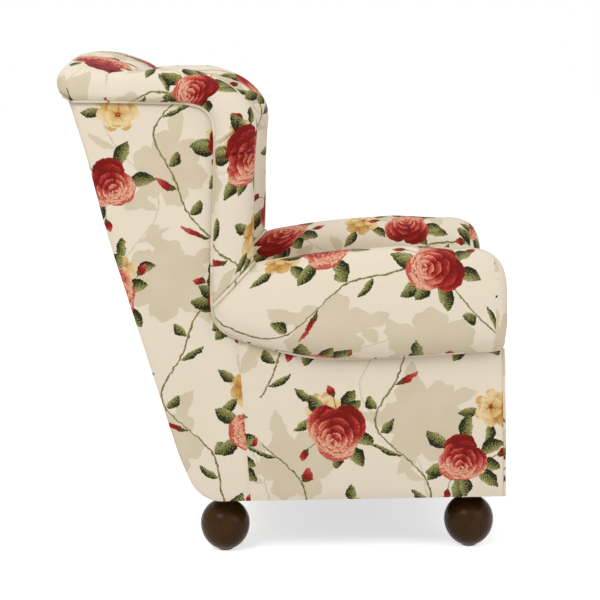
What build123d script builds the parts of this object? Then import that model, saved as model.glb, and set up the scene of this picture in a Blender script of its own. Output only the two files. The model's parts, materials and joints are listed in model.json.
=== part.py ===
from build123d import *
import os
from math import asin, cos, pi, radians, sin, sqrt, tan

# Upholstered wing-back fireside chair on turned ball feet.
# Millimetres. X runs across the chair, the sitter faces -Y, +Z is up.
# The origin is on the floor, under the middle of the chair's outline.
# "left" is the sitter's left, on the +X side.

# ---- outline, as seen from the side -----------------------------------------
overall_depth = 900.0        # nose of the arms to the back of the crest
foot_height = 121.0          # floor to the underside of the base
arm_height = 645.0           # floor to the crown of the arms
crest_height = 1050.0        # floor to the top of the arched crest
wing_below_crest = 40.0      # top of the wings under the top of the crest
back_rake = 15.8             # lean of the outside back, degrees
crest_overhang = 20.0        # crest standing out behind the outside back
crest_roll = 93.0            # height of the crest roll at its middle
crest_drop = 40.0            # fall of the crest from its middle to its ends
crest_flat = 340.0           # width of the crest's level middle
crest_end_bevel = 16.0       # drawing in of the crest's ends
crest_front_round = 75.0     # rounding of the crest's top towards the sitter
crest_rear_round = 45.0      # the same towards the rear
crest_foot_rise = 18.0       # height of the slope under its overhang
crest_foot_round = 20.0      # rounding of that slope into the rear line
heel_radius = 65.0           # rounding of the outside back into the base
nose_overhang = 4.0          # arm noses standing out before the front border

# ---- widths -----------------------------------------------------------------
seat_width = 510.0           # between the inside arms
arm_body = 90.0              # inside arm to the flat outside cover
wing_inset = 17.0            # inside wing outwards of the inside arm
arm_overhang = 55.0          # arm roll standing out past the outside cover
wing_overhang = 23.0         # wing roll standing out past the outside cover

# ---- seat and inside back ---------------------------------------------------
deck_height = 352.0          # floor to the deck under the loose cushion
back_thickness = 159.0       # outside back to inside back, at the crest
lumbar_extra = 7.0           # how much thicker the back is at the cushion
back_edge_crown = 6.0        # fullness of the inside back beside the wings
back_mid_crown = 20.0        # fullness of the inside back at its middle
cushion_edge = 88.0          # height of the seat cushion's boxing
cushion_crown = 28.0         # rise of its top above the boxing
cushion_shoulder = 80.0      # width over which the top rises from its edges
cushion_draw = 7.0           # how far its sides pull in between the corners
cushion_corner = 38.0        # corner radius of the seat cushion
cushion_gap = 2.0            # air between the cushion's piping and the arms

# ---- wings and arms ---------------------------------------------------------
wing_reach = 379.0           # outside back to the wing's front edge, at the top
wing_corner = 140.0          # rounding of the wing's upper front corner
wing_fall = 6.0              # fall of the wing's top towards its front
wing_lean = 13.0             # the wing's front edge leans back by this, downwards
wing_roll_top = 66.0         # wing roll, crown to side seam, along its top
wing_roll_front = 88.0       # the same along its front
wing_roll_inside = 40.0      # rounding of the roll on the sitter's side
wing_roll_outside = 44.0     # rounding of the roll on the outside
wing_roll_steps = 3          # steps in which each rounding is drawn
wing_knee = 31.0             # arm crown up to where the front bends back under the wing
wing_foot = 63.0             # arm crown down to where it is upright again
wing_foot_setback = 47.0     # that upright edge behind the wing's front edge
wing_seam_corner = 50.0      # rounding of the side seam at the wing's corner
crest_join = 85.0            # where the wing roll meets the crest, from the rear
mitre_drop = 28.0            # arm crown to the top of the arm and wing mitre
mitre_setback = 14.0         # that point behind the wing's front edge
arm_round_inside = 72.0      # rounding of the arm's crown towards the seat
arm_round_outside = 68.0     # the same towards the outside
arm_roll_front = 212.0       # crown to the side seam, at the nose
arm_roll_middle = 228.0      # the same at the seam's lowest place
arm_seam_low = 127.0         # that lowest place before the wing's front edge
arm_seam_rise = 60.0         # rise of the seam from there to under the wing
arm_seam_bend = 72.0         # rounding of the seam under the wing
arm_seam_sweep = 350.0       # long curve of the seam at its lowest place
arm_nose = 65.0              # length over which the arm's nose rounds off
nose_drop = 80.0             # fall of the crown over the nose
nose_narrowing = 40.0        # narrowing of the arm's sides over the nose
arm_level = 235.0            # the crown starts to fall this far before the wing
arm_rear_taper = 24.0        # drawing in of the whole arm towards the wing

# ---- covers and trim --------------------------------------------------------
cover = 4.0                  # outside cover with its wadding
border = 12.0                # padded covers on the front
border_round = 8.0           # rounding of the front border's top edge
dust_cloth = 1.5             # dust cover under the base
piping = 6.5                 # piping diameter
seam_gap = 0.3               # air at a seam between curved faces
side_seam_top = 50.0         # plain side seam behind the wing's front, at its top
side_seam_foot = 33.0        # the same at the base

# ---- frame ------------------------------------------------------------------
board = 28.0                 # thickness of rails and posts
rail_height = 90.0           # height of the base rails
seat_rail = 40.0             # height of the seat rails
front_post = 60.0            # depth of the front posts
rear_post = 60.0             # width of the rear posts, across the chair
arm_board = 22.0             # thickness of the arm boards
arm_board_padding = 40.0     # arm crown above the arm boards
arm_board_outset = 24.0      # arm boards past the frame's outer face
arm_board_inset = 41.0       # arm boards inwards of the frame's outer face
scroll_board = 18.0          # plywood that shapes the arm rolls
scroll_padding = 15.0        # padding round that plywood
scroll_setback = 20.0        # front scroll board behind the arm's nose
scroll_before_mitre = 75.0   # rear scroll board before the mitre
wing_board = 18.0            # thickness of the plywood wings
wing_padding = 38.0          # padding round the plywood's edge
liner = 3.0                  # hardboard under the inside arms
top_rail = 80.0              # height of the back's top rail, at its ends
top_rail_padding = 40.0      # crest padding over that rail
tuck_rail = 50.0             # height of the back's lower rail
tuck_rail_rise = 45.0        # its lower edge above the deck
block_leg = 104.0            # legs of the corner blocks
block_nose = 14.0            # blunt ends of those legs
block_height = 45.0

# ---- suspension -------------------------------------------------------------
spring_count = 4
spring_wire = 4.0
spring_width = 50.0          # across the loops
spring_pitch = 48.0          # about this from bar to bar
spring_bend = 15.0           # cut of the corners between the bars
spring_room = 4.4            # springs and clips between the rails and the deck
clip_length = 15.0
clip_depth = 14.0
deck_padding = 17.6
strap_width = 50.0
strap = 1.5
strap_lap = 18.0             # cross straps tacked on the posts by this length
upright_straps = 4
cross_straps = 5

# ---- feet -------------------------------------------------------------------
ball = 104.0
ball_bands = 9               # conical bands that the ball is turned in
neck = 46.0
glide = 32.0
glide_thickness = 8.0
glide_rim = 1.5
foot_side_inset = 73.0       # foot axis from the outside cover
front_foot_inset = 73.0      # front foot axis behind the front border
rear_foot_inset = 50.0       # rear foot axis before the outside back's heel
stud = 10.0
stud_in_foot = 32.0
tee_barrel = 13.0
tee_flange = 26.0
tee_plate = 1.6
tee_depth = 14.0
bore_gap = 0.1               # air round studs, tee nuts and spring wires
neck_gap = 0.5               # air round the necks of the feet

# ---- places that follow -----------------------------------------------------
nose_y = -overall_depth / 2
rear_y = overall_depth / 2
front_y = nose_y + nose_overhang                 # front of the border
rail_y = front_y + border                        # front of the frame
base_z = foot_height
frame_z = base_z + cover                         # underside of the frame
arm_in_x = seat_width / 2
body_x = arm_in_x + arm_body
frame_x = body_x - cover                         # outer face of the frame
side_x = frame_x - board                         # inner face of rails and posts
liner_x = side_x - liner
post_x = frame_x - rear_post                     # inner face of the rear posts
arm_out_x = body_x + arm_overhang
wing_in_x = arm_in_x + wing_inset
wing_out_x = body_x + wing_overhang
foot_x = body_x - foot_side_inset
rake = tan(radians(back_rake))
crest_z = crest_height - crest_roll              # underside of the crest
crest_end_z = crest_height - crest_drop          # its top, at the ends
wing_height = crest_height - wing_below_crest
top_rail_foot = crest_end_z - top_rail_padding - top_rail
crest_foot_y = rear_y - crest_overhang
crest_join_y = crest_foot_y - crest_join
wing_front_y = crest_foot_y - wing_reach
wing_seam_z = wing_height - wing_roll_top
wing_seam_y = wing_front_y + wing_roll_front
arm_seam_z = arm_height - arm_roll_middle        # lowest place of the side seam
nose_seam_z = arm_height - arm_roll_front
arm_board_z = arm_height - arm_board_padding - arm_board
mitre_y = wing_front_y + mitre_setback
mitre_z = arm_height - mitre_drop
rail_top_z = deck_height - deck_padding - spring_room
cushion_z = deck_height + seam_gap               # underside of the loose cushion
boxing_z = cushion_z + cushion_edge
seat_z = boxing_z + cushion_crown
frame_depth = cover + board                      # front of the back frame
strap_depth = frame_depth + 2 * strap            # front of its webbing
FAR = 2 * crest_height                           # beyond the chair, for cutting


def back_y(z, depth=0.0):
    """Y of the plane that lies depth in front of the outside back, at height z."""
    return crest_foot_y - (crest_z - z) * rake - depth / cos(radians(back_rake))


def inside_back_y(z):
    """Y of the inside back's straight line at height z."""
    return back_y(z, back_thickness + lumbar_extra * (crest_z - z) / (crest_z - seat_z))


def foot_y(rear):
    return back_y(base_z) - rear_foot_inset if rear else front_y + front_foot_inset


# ---- drawing helpers --------------------------------------------------------
def path(corners, closed=False):
    """Lines and tangent arcs along (u, v, radius) corners; radius 0 is sharp."""
    points = [Vector(u, v) for u, v, _ in corners]
    joints = []
    for i, (_, _, radius) in enumerate(corners):
        here = points[i]
        if radius == 0 or not (closed or 0 < i < len(points) - 1):
            joints.append((here, here, here))
            continue
        back = (points[i - 1] - here).normalized()
        ahead = (points[(i + 1) % len(points)] - here).normalized()
        half = radians(back.get_angle(ahead)) / 2
        reach = radius / tan(half)
        top = here + (back + ahead).normalized() * (radius / sin(half) - radius)
        joints.append((here + back * reach, top, here + ahead * reach))
    edges = []
    for i, (start, top, end) in enumerate(joints):
        if (end - start).length > 1e-6:
            edges.append(ThreePointArc(start, top, end))
        follower = joints[(i + 1) % len(joints)][0]
        if (closed or i < len(joints) - 1) and (follower - end).length > 1e-6:
            edges.append(Line(end, follower))
    return edges


def flat(corners):
    """Face in the side plane, (Y, Z), from (y, z, radius) corners."""
    return Plane.YZ * make_face(path(corners, closed=True))


def plate(face, x0, x1):
    """A side-plane face made into a board between x0 and x1."""
    return Pos(x0, 0, 0) * extrude(face, x1 - x0)


def block(x0, x1, y0, y1, z0, z1):
    """Box between two corners."""
    return Pos(x0, y0, z0) * Box(x1 - x0, y1 - y0, z1 - z0, align=Align.MIN)


def upright(radius, z0, z1):
    """Round bar on the Z axis between two heights."""
    return Pos(0, 0, z0) * Cylinder(radius, z1 - z0, align=(Align.CENTER, Align.CENTER, Align.MIN))


def pair(name, solid):
    """A piece on the sitter's left and its mirror image on the right."""
    return {name + "_left": solid, name + "_right": mirror(solid, about=Plane.YZ)}


def on_feet(solid):
    """Four copies of a solid on the feet's axes."""
    return Compound([Pos(side * foot_x, foot_y(rear), 0) * solid
                     for side in (-1, 1) for rear in (False, True)])


# ---- side outlines ----------------------------------------------------------
def seam_corners(shift=0.0):
    """The piped side seam, from the crest round the wing and under the arm."""
    return [
        (back_y(crest_z), crest_z - shift, 0),
        (wing_seam_y + shift, wing_seam_z - shift, wing_seam_corner),
        (wing_seam_y + wing_lean + shift, arm_seam_z + arm_seam_rise - shift, arm_seam_bend),
        (wing_front_y - arm_seam_low, arm_seam_z - shift, arm_seam_sweep),
        (front_y, nose_seam_z - shift, 0),
    ]


def seam_height(y):
    """Height of the side seam's straight runs under the arm, at y."""
    _, _, high, low, front = seam_corners()
    one, two = (low, high) if y > low[0] else (front, low)
    return one[1] + (two[1] - one[1]) * (y - one[0]) / (two[0] - one[0])


def heel_corners(inset):
    """The outside back and its rounded heel, inset, down to the base."""
    foot_z = base_z + inset
    return [(back_y(crest_z, inset), crest_z, 0),
            (back_y(foot_z, inset), foot_z, heel_radius - inset),
            (back_y(base_z) - heel_radius, foot_z, 0)]


def behind_seam():
    """Everything that the flat side covers take up, outside the frame."""
    return plate(flat([(FAR, crest_z, 0)] + seam_corners() + [
        (front_y - FAR, nose_seam_z, 0), (front_y - FAR, -FAR, 0), (FAR, -FAR, 0)]),
        frame_x, frame_x + FAR)


def above_mitre():
    """Half space above the mitre between the wing and the arm."""
    return plate(flat([
        (mitre_y - FAR, mitre_z + FAR, 0), (mitre_y + FAR, mitre_z - FAR, 0),
        (mitre_y + FAR, mitre_z + FAR, 0)]), -FAR, FAR)


def back_slab(z0, z1, x0, x1, depth=cover, thickness=board):
    """A board in the raked back, between two heights."""
    return plate(flat([
        (back_y(z0, depth), z0, 0), (back_y(z1, depth), z1, 0),
        (back_y(z1, depth + thickness), z1, 0), (back_y(z0, depth + thickness), z0, 0)]), x0, x1)


def behind_plane(depth):
    """Everything behind the plane that lies depth in front of the outside back."""
    return back_slab(0, FAR, -FAR, FAR, depth - FAR, FAR)


def inner_body():
    """Space inside the outside back and its rounded heel."""
    return plate(flat(heel_corners(cover) + [
        (nose_y, frame_z, 0), (nose_y, crest_z, 0)]), -FAR, FAR)


# ---- frame ------------------------------------------------------------------
def make_front_rail():
    return block(-side_x, side_x, rail_y, rail_y + board, frame_z, rail_top_z)


def make_back_rail(z0, z1):
    """Rail between the rear posts."""
    return back_slab(z0, z1, -post_x, post_x) & inner_body()


def make_side_rail(z0, z1):
    """Rail from the front post to the rear post, flush with the frame's side."""
    return plate(flat([
        (rail_y + front_post, z0, 0), (back_y(z0, frame_depth), z0, 0),
        (back_y(z1, frame_depth), z1, 0), (rail_y + front_post, z1, 0)]),
        side_x, frame_x) & inner_body()


def make_front_post():
    return block(side_x, frame_x, rail_y, rail_y + front_post, frame_z, arm_board_z)


def make_rear_post():
    return back_slab(frame_z, top_rail_foot, post_x, frame_x) & inner_body()


def make_top_rail():
    """Board over the rear posts, its top arched to follow the crest."""
    end_z = crest_end_z - top_rail_padding
    arch = make_face([
        Polyline((-frame_x, end_z), (-frame_x, top_rail_foot),
                 (frame_x, top_rail_foot), (frame_x, end_z)),
        ThreePointArc((frame_x, end_z), (0, end_z + crest_drop), (-frame_x, end_z))])
    return Pos(0, FAR, 0) * extrude(Plane.XZ * arch, 2 * FAR) & back_slab(
        top_rail_foot, crest_height, -frame_x, frame_x)


def make_arm_board():
    """Flat board on the posts; it narrows to pass inside the wing's cover."""
    inner = frame_x - arm_board_inset
    outer = frame_x + arm_board_outset
    plan = make_face(Polyline(
        (inner, rail_y), (outer, rail_y), (outer, wing_front_y - arm_level),
        (frame_x, mitre_y - arm_board_outset), (frame_x, rear_y), (inner, rear_y), close=True))
    return (Pos(0, 0, arm_board_z) * extrude(plan, arm_board)) - behind_plane(frame_depth)


def make_wing_board():
    """Plywood wing, standing on the arm board against the rear post."""
    foot_z = arm_board_z + arm_board
    top_z = wing_height - wing_padding
    front = wing_front_y + wing_padding
    return plate(flat([
        (front + wing_lean, foot_z, 0), (front, top_z, wing_corner - wing_padding),
        (crest_join_y, top_z, 0), (crest_join_y, crest_z, 0),
        (back_y(crest_z, frame_depth), crest_z, 0),
        (back_y(foot_z, frame_depth), foot_z, 0)]), frame_x - wing_board, frame_x)


def scroll_places():
    """Y of the front face of each scroll board."""
    return [nose_y + scroll_setback, mitre_y - scroll_before_mitre]


def make_scroll_board(y):
    """Plywood half round beside the frame, below the arm board."""
    inset, seam_z = arm_rear_taper * arm_fall(y + scroll_board), seam_height(y + scroll_board)
    face = arm_section(inset, inset, arm_seam_z, scroll_padding)
    solid = Pos(0, y + scroll_board, 0) * extrude(Plane.XZ * face, scroll_board)
    return solid & block(frame_x, FAR, nose_y, rear_y, seam_z + scroll_padding, arm_board_z)


def make_liner():
    """Hardboard on the inner faces of the posts, under the inside arm."""
    return block(liner_x, side_x, rail_y, rear_y, deck_height, arm_board_z) - behind_plane(frame_depth)


def make_corner_block(rear):
    """Glued block in a corner of the base, bored for the foot's tee nut."""
    block_z = frame_z + block_height
    corner_y = back_y(block_z, frame_depth) if rear else rail_y + board
    turn = -1 if rear else 1
    plan = make_face(Polyline(
        (side_x, corner_y), (side_x - block_leg, corner_y),
        (side_x - block_leg, corner_y + turn * block_nose),
        (side_x - block_nose, corner_y + turn * block_leg),
        (side_x, corner_y + turn * block_leg), close=True))
    solid = Pos(0, 0, frame_z) * extrude(plan, block_height)
    if rear:
        solid = (solid - behind_plane(frame_depth)) & inner_body()
    bore = upright(stud / 2 + bore_gap, frame_z, block_z)
    seat = upright(tee_barrel / 2 + bore_gap, block_z - tee_depth, block_z)
    return solid - Pos(foot_x, foot_y(rear), 0) * (bore + seat)


# ---- feet -------------------------------------------------------------------
def make_foot():
    """Turned ball with a short neck, flat below for the glide, bored for the stud."""
    radius = ball / 2
    low, high = asin(glide / ball), pi - asin(neck / ball)
    middle = glide_thickness + radius * cos(low)
    turns = [low + i * (high - low) / ball_bands for i in range(ball_bands + 1)]
    profile = make_face(Polyline(
        (0, frame_z), (0, glide_thickness),
        *[(radius * sin(turn), middle - radius * cos(turn)) for turn in turns],
        (neck / 2, frame_z), close=True))
    solid = revolve(Plane.XZ * profile, Axis.Z)
    return solid - upright(stud / 2 + bore_gap, frame_z - stud_in_foot, frame_z)


def make_glide():
    disc = upright(glide / 2, 0, glide_thickness)
    return chamfer(disc.edges().sort_by(Axis.Z)[0], glide_rim)


def make_stud():
    return upright(stud / 2, frame_z - stud_in_foot, frame_z + block_height)


def make_tee_nut():
    top = frame_z + block_height
    flange = Pos(0, 0, top) * extrude(RegularPolygon(tee_flange / 2, 6), tee_plate)
    barrel = upright(tee_barrel / 2, top - tee_depth, top)
    return flange + barrel - upright(stud / 2 + bore_gap, top - tee_depth, top + tee_plate)


def neck_holes():
    """The necks of the feet, with a little air, for what they pass through."""
    return on_feet(upright(neck / 2 + neck_gap, 0, frame_z + cover))


def make_dust_cover():
    """Thin cloth under the frame, cut round the necks of the feet."""
    rear = back_y(base_z) - heel_radius
    return block(-frame_x, frame_x, rail_y, rear, frame_z - dust_cloth, frame_z) - neck_holes()


# ---- suspension -------------------------------------------------------------
def spring_places():
    """X of each seat spring, evenly across the seat."""
    spacing = seat_width / spring_count
    return [(i - (spring_count - 1) / 2) * spacing for i in range(spring_count)]


def spring_ends():
    """Y of the springs' end bars, on the front rail and the rear seat rail."""
    return rail_y + board / 2, back_y(rail_top_z, cover + board / 2)


def make_springs():
    """Zigzag seat springs, each one unbroken wire with its corners cut."""
    start, end = spring_ends()
    bars = round((end - start) / spring_pitch)
    half, cut = spring_width / 2, spring_bend
    points = [(clip_length * 0.8, start)]
    for i in range(bars + 1):
        side = 1 if i % 2 else -1
        y = start + i * (end - start) / bars
        points += [(-side * half, y - cut), (-side * (half - cut), y),
                   (side * (half - cut), y), (side * half, y + cut)]
    points = points[:1] + points[3:-2] + [(side * clip_length * 0.8, end)]
    wire = sweep(Plane(points[0], z_dir=(-1, 0, 0)) * Rectangle(spring_wire, spring_wire),
                 path=Polyline(*points), transition=Transition.RIGHT)
    return Compound([Pos(x, 0, rail_top_z + spring_room / 2) * wire for x in spring_places()])


def make_clips():
    """Steel clips that hold the springs' end bars to the rails."""
    bore = spring_wire + 2 * bore_gap
    clip = Pos(0, 0, rail_top_z + spring_room / 2) * (
        Box(clip_length, clip_depth, spring_room) - Box(clip_length, bore, bore))
    return Compound([Pos(x, y, 0) * clip for x in spring_places() for y in spring_ends()])


def strap_zone():
    """Heights between which the back's webbing is stretched."""
    return deck_height + tuck_rail_rise, top_rail_foot


def make_upright_straps():
    """Webbing from the tuck rail to the top rail, on the front of the frame."""
    low, high = strap_zone()
    step = 2 * post_x / (upright_straps + 1)
    places = [-post_x + i * step for i in range(1, upright_straps + 1)]
    return Compound([back_slab(low, high + board, x - strap_width / 2, x + strap_width / 2,
                               frame_depth, strap) for x in places])


def make_cross_straps():
    """Webbing from post to post, over the upright straps."""
    low, high = strap_zone()
    low += tuck_rail
    step = (high - low) / (cross_straps + 1)
    half = post_x + strap_lap
    return Compound([back_slab(low + i * step - strap_width / 2, low + i * step + strap_width / 2,
                               -half, half, frame_depth + strap, strap)
                     for i in range(1, cross_straps + 1)])


# ---- upholstery -------------------------------------------------------------
def arm_section(drop=0.0, narrow=0.0, seam_z=arm_seam_z, padding=0.0):
    """Cross-section of an arm, (X, Z): inside arm, crown, roll and side seam."""
    inset = narrow + padding
    left, right = arm_in_x + inset, arm_out_x - inset
    top, foot = arm_height - drop - padding, seam_z + inset
    return make_face(path([
        (left, deck_height, 0), (left, top, arm_round_inside - inset),
        (right, top, arm_round_outside - inset), (right, foot, right - body_x - 0.5),
        (body_x, foot, 0), (body_x, deck_height, 0)], closed=True))


def arm_fall(y):
    """Share of the arm's fall and narrowing reached at y; 1 is at the mitre."""
    level_y = wing_front_y - arm_level
    return (max(y - level_y, 0) / (mitre_y - level_y)) ** 2


def nose_stations():
    """Sections of the arm's rounded nose: y and the arguments of arm_section."""
    stations = []
    for share in (0, 0.1, 0.3, 0.6, 1):
        rounding = 1 - sqrt(1 - (1 - share) ** 2)
        stations.append((nose_y + share * arm_nose, nose_drop * rounding,
                         nose_narrowing * rounding, nose_seam_z - nose_narrowing * rounding))
    return stations


def rear_stations():
    """Sections of the arm where it is drawn in towards the wing."""
    stations = []
    for y in (wing_front_y - arm_level, wing_front_y - arm_seam_low, mitre_y, back_y(mitre_z)):
        inset = arm_rear_taper * min(arm_fall(y), 1)
        stations.append((y, inset, inset, arm_seam_z))
    return stations


def hollow_arm():
    """The open box between the posts, under the arm board."""
    return block(liner_x, frame_x, rail_y, rear_y, 0, arm_board_z)


def make_arm_pad():
    """Arm roll and inside arm in one: lofts along the arm, cut at its seams."""
    nose, rear = [loft([Plane.XZ.offset(-y) * arm_section(*shape) for y, *shape in stations],
                       ruled=True) for stations in (nose_stations(), rear_stations())]
    nose_end, level_y = nose_y + arm_nose, wing_front_y - arm_level
    middle = Pos(0, level_y, 0) * extrude(Plane.XZ * arm_section(), level_y - nose_end)
    solid = nose + middle + rear - hollow_arm()
    solid = solid - block(0, FAR, nose_y - 1, rail_y, 0, nose_seam_z)
    solid = solid - above_mitre() - behind_seam() - make_arm_board() - behind_plane(frame_depth)
    for y in scroll_places():
        solid = solid - make_scroll_board(y)
    return solid


def wing_outline(inset):
    """Side outline of the wing, drawn in along its top and its front."""
    low_y, top_z = wing_front_y + wing_foot_setback + inset, wing_height - inset
    front = wing_front_y + inset
    return flat([
        (crest_join_y, top_z, 0), (front, top_z - wing_fall, wing_corner - inset),
        (front + wing_lean, arm_height + wing_knee, 0), (low_y, arm_height - wing_foot, 0),
        (low_y, deck_height, 0), (back_y(deck_height, frame_depth), deck_height, 0),
        (back_y(crest_z, frame_depth), crest_z, 0), (crest_join_y, crest_z, 0)])


def make_wing_pad():
    """Wing roll and inside wing in one, rounded on both sides of its edge."""
    thickness = wing_out_x - wing_in_x
    inner, outer = [min(radius, 0.48 * thickness) for radius in (wing_roll_inside, wing_roll_outside)]
    turns = [radians(i * 90 / wing_roll_steps) for i in range(wing_roll_steps + 1)]
    places = [(wing_in_x + inner * (1 - cos(turn)), inner * (1 - sin(turn))) for turn in turns]
    places += [(wing_out_x - outer * (1 - cos(turn)), outer * (1 - sin(turn))) for turn in turns[::-1]]
    solid = loft([Pos(x, 0, 0) * wing_outline(inset) for x, inset in places], ruled=True)
    solid = (solid & above_mitre()) - behind_seam() - hollow_arm()
    straps = behind_plane(strap_depth) & block(0, post_x + strap_lap, 0, rear_y, 0, crest_z)
    return solid - make_arm_board() - make_wing_board() - straps


def crest_profile(foot_z):
    """Side outline of the crest at its middle, its straight sides drawn down to foot_z."""
    front = inside_back_y(crest_z)
    return flat([
        (front - rake * (crest_z - foot_z), foot_z, 0),
        (front + rake * crest_roll, crest_height, crest_front_round),
        (rear_y, crest_height, crest_rear_round), (rear_y, foot_z, 0)])


def make_crest():
    """Roll over the whole top, falling towards its ends; it overhangs the outside back."""
    half, run = crest_flat / 2, wing_out_x - crest_flat / 2
    outline = crest_profile(crest_z - crest_roll)
    fall = crest_drop / (body_x - half)
    end = extrude(Pos(half, 0, 0) * outline, run * sqrt(1 + fall ** 2), dir=(1, 0, -fall))
    solid = plate(outline, -half, half) + end + mirror(end, about=Plane.YZ)
    bevel = crest_end_bevel
    front = Plane.XZ * make_face(Polyline(
        (-wing_out_x, crest_z), (wing_out_x, crest_z), (wing_out_x, crest_end_z - 2 * bevel),
        (wing_out_x - bevel / 3, crest_end_z - bevel), (wing_out_x - bevel, crest_height),
        (bevel - wing_out_x, crest_height), (bevel / 3 - wing_out_x, crest_end_z - bevel),
        (-wing_out_x, crest_end_z - 2 * bevel), close=True))
    side = flat([
        (rear_y - FAR, crest_z, 0), (crest_foot_y, crest_z, 0),
        (rear_y, crest_z + crest_foot_rise, crest_foot_round), (rear_y, crest_height, 0),
        (rear_y - FAR, crest_height, 0)])
    top = make_face(Polyline(
        (-wing_out_x, 0), (-wing_out_x, rear_y - 2 * bevel), (bevel / 3 - wing_out_x, rear_y - bevel),
        (bevel - wing_out_x, rear_y), (wing_out_x - bevel, rear_y),
        (wing_out_x - bevel / 3, rear_y - bevel), (wing_out_x, rear_y - 2 * bevel), (wing_out_x, 0),
        close=True))
    solid = solid & Pos(0, FAR, 0) * extrude(front, 2 * FAR) & plate(side, -FAR, FAR)
    solid = solid & extrude(top, FAR)
    wing = block(wing_in_x, FAR, nose_y, crest_join_y, crest_z, FAR)
    return solid - wing - mirror(wing, about=Plane.YZ) - make_top_rail()


def back_section(x, crown):
    """Side section of the inside back: upright behind the cushion, then leaning."""
    low_y, top_y = inside_back_y(seat_z), inside_back_y(crest_z)
    return Pos(x, 0, 0) * (Plane.YZ * make_face([
        ThreePointArc((low_y, seat_z), ((low_y + top_y) / 2 - crown, (seat_z + crest_z) / 2),
                      (top_y, crest_z)),
        Polyline((top_y, crest_z), (back_y(crest_z, strap_depth), crest_z),
                 (back_y(deck_height, strap_depth), deck_height), (low_y, deck_height),
                 (low_y, seat_z))]))


def make_back_pad():
    """Inside back, fullest in its middle, between the wings and the arms."""
    near_crown = 0.8 * back_mid_crown
    crowns = [back_edge_crown, near_crown, back_mid_crown, near_crown, back_edge_crown]
    solid = loft([back_section((i - 2) / 2 * wing_in_x, crown) for i, crown in enumerate(crowns)])
    arm_side = block(arm_in_x, FAR, nose_y, rear_y, deck_height, FAR) - above_mitre()
    return solid - arm_side - mirror(arm_side, about=Plane.YZ)


def make_deck():
    """Padded platform on the springs, under the loose cushion."""
    foot_z = deck_height - deck_padding
    return block(-liner_x, liner_x, rail_y, back_y(foot_z, frame_depth), foot_z, deck_height)


def cushion_size(spread=0.0):
    """Half the cushion's width, and the Y of its front and its rear."""
    margin = cushion_gap + piping + seam_gap - spread
    return arm_in_x - margin, front_y + margin - cushion_gap, inside_back_y(seat_z) - margin


def cushion_corners(spread=0.0):
    """Outline of the cushion, its sides drawn in between rounded corners."""
    half, front, rear = cushion_size(spread)
    middle, deep, draw = (front + rear) / 2, (rear - front) / 2, cushion_draw
    corner, wide_arc, deep_arc = cushion_corner + spread, 0.6 * half ** 2 / draw, 0.6 * deep ** 2 / draw
    return [(half, middle + deep, corner), (0, middle + deep - draw, wide_arc),
            (-half, middle + deep, corner), (draw - half, middle, deep_arc),
            (-half, middle - deep, corner), (0, middle - deep + draw, wide_arc),
            (half, middle - deep, corner), (half - draw, middle, deep_arc)]


def crown_profile(low, high):
    """Outline of the cushion's crowned top between its two edges."""
    shoulder = cushion_shoulder
    return [(low, cushion_z, 0), (low, boxing_z, 0), (low + shoulder, seat_z, 2 * shoulder),
            (high - shoulder, seat_z, 2 * shoulder), (high, boxing_z, 0), (high, cushion_z, 0)]


def make_cushion():
    """Loose seat cushion: boxed sides and a crowned top."""
    half, front, rear = cushion_size()
    solid = Pos(0, 0, cushion_z) * extrude(
        make_face(path(cushion_corners(), closed=True)), seat_z - cushion_z)
    across = Plane.XZ * make_face(path(crown_profile(-half, half), closed=True))
    return solid & Pos(0, FAR, 0) * extrude(across, 2 * FAR) & plate(
        flat(crown_profile(front, rear)), -FAR, FAR)


def make_cushion_piping():
    """Piped edges round the top and the bottom of the cushion's boxing."""
    line = Wire(path(cushion_corners(spread=piping / 2 + seam_gap), closed=True))
    start = line.edges()[0]
    tube = sweep(Plane(start @ 0, z_dir=start % 0) * RegularPolygon(piping / 2, 6), path=line)
    return Compound([Pos(0, 0, z) * tube for z in (cushion_z + piping / 2, boxing_z)])


def make_side_covers():
    """Flat outside covers: the rear one with the wing, and the one under the arm."""
    whole = plate(flat(seam_corners() + [(front_y, base_z, 0), heel_corners(0)[1]]),
                  frame_x, body_x)
    top_z = arm_seam_z + arm_seam_rise
    low_y, high_y = wing_front_y + side_seam_foot, wing_front_y + side_seam_top
    lean = (high_y - low_y) / (top_z - base_z)
    front = plate(flat([(low_y - lean * base_z, 0, 0), (high_y, top_z, 0),
                        (nose_y, top_z, 0), (nose_y, 0, 0)]), 0, FAR)
    return whole - front, whole & front


def make_outside_back():
    """Cover of the raked back, wrapped under the rounded heel."""
    outline = heel_corners(0) + heel_corners(cover)[::-1]
    return plate(flat(outline), -frame_x, frame_x) - neck_holes()


def make_front_border():
    solid = block(-arm_in_x, arm_in_x, front_y, rail_y, base_z, deck_height)
    rim = solid.edges().filter_by(Axis.X).sort_by(lambda e: e.center().Y - e.center().Z)[0]
    return fillet(rim, border_round)


def make_arm_front():
    return block(arm_in_x, frame_x, front_y, rail_y, base_z, nose_seam_z)


def make_side_piping():
    """Piping on the outside cover, close under the wing roll and the arm roll."""
    spine = Wire([Plane.YZ * edge for edge in path(seam_corners(piping / 2 + seam_gap))])
    start = spine.edges()[0]
    ring = Plane(start @ 0, z_dir=start % 0) * RegularPolygon(piping / 2, 6)
    return Pos(body_x + piping / 2, 0, 0) * sweep(ring, path=spine)


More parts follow.
